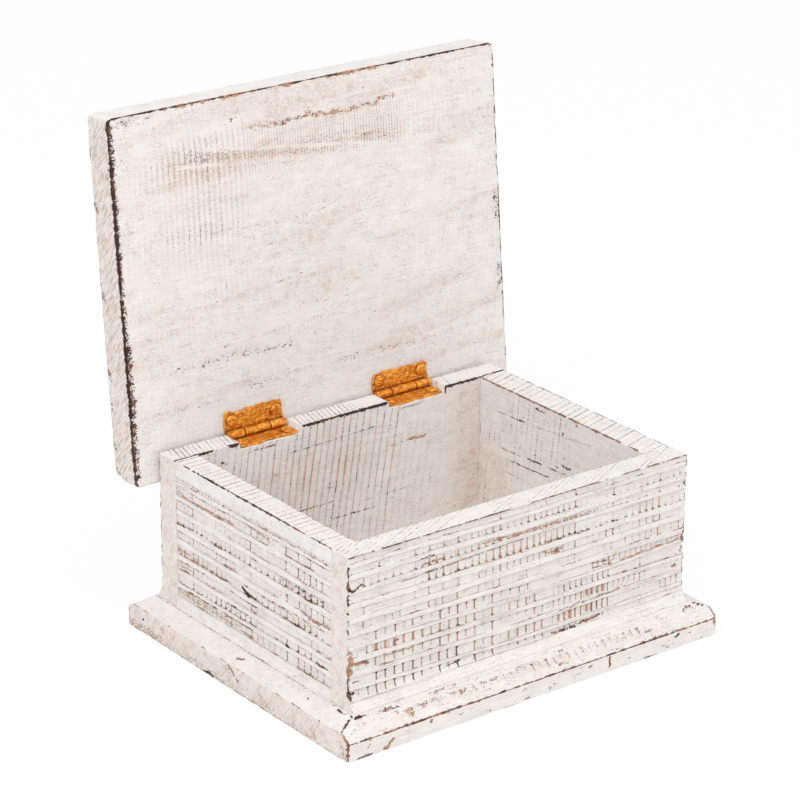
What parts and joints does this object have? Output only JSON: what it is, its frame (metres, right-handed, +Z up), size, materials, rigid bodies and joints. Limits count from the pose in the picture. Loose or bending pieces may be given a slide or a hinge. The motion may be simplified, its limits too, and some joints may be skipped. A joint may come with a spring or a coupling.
{
  "type": "hinged lid storage box",
  "caption": "Whitewashed wooden box with ridged sides on a wider bevelled base, and a thick overhanging lid on two small butt hinges.",
  "frame": {"origin": "centre of the base board's underside, on the surface that the box stands on", "axes": "+X to the right seen from the front, -Y towards the front, +Y towards the hinges, +Z up"},
  "size_m": [0.226, 0.1994, 0.2531],
  "materials": {
    "whitewashed_wood": "thin chalky white paint over rough-sawn wood, worn to brown along edges and saw marks",
    "gilded_brass": "brushed orange-gold paint over brass, semi-gloss",
    "steel": "plain drawn steel"
  },
  "bodies": {
    "box": {"base_board": "whitewashed_wood", "front_wall": "whitewashed_wood", "back_wall": "whitewashed_wood", "left_wall": "whitewashed_wood", "right_wall": "whitewashed_wood", "left_hinge_box_leaf": "gilded_brass", "right_hinge_box_leaf": "gilded_brass", "left_hinge_pin": "gilded_brass", "right_hinge_pin": "gilded_brass", "left_hinge_box_screws": "gilded_brass", "right_hinge_box_screws": "gilded_brass", "front_wall_brads": "steel", "back_wall_brads": "steel", "base_screws": "steel"},
    "lid": {"lid_board": "whitewashed_wood", "left_hinge_lid_leaf": "gilded_brass", "right_hinge_lid_leaf": "gilded_brass", "left_hinge_lid_screws": "gilded_brass", "right_hinge_lid_screws": "gilded_brass"}
  },
  "joints": [
    {"name": "lid_hinge", "type": "hinge", "parent": "box", "child": "lid", "pos_m": [0, 0.0742, 0.0905], "axis": [1, 0, 0], "range_deg": [0, 95.57]}
  ]
}
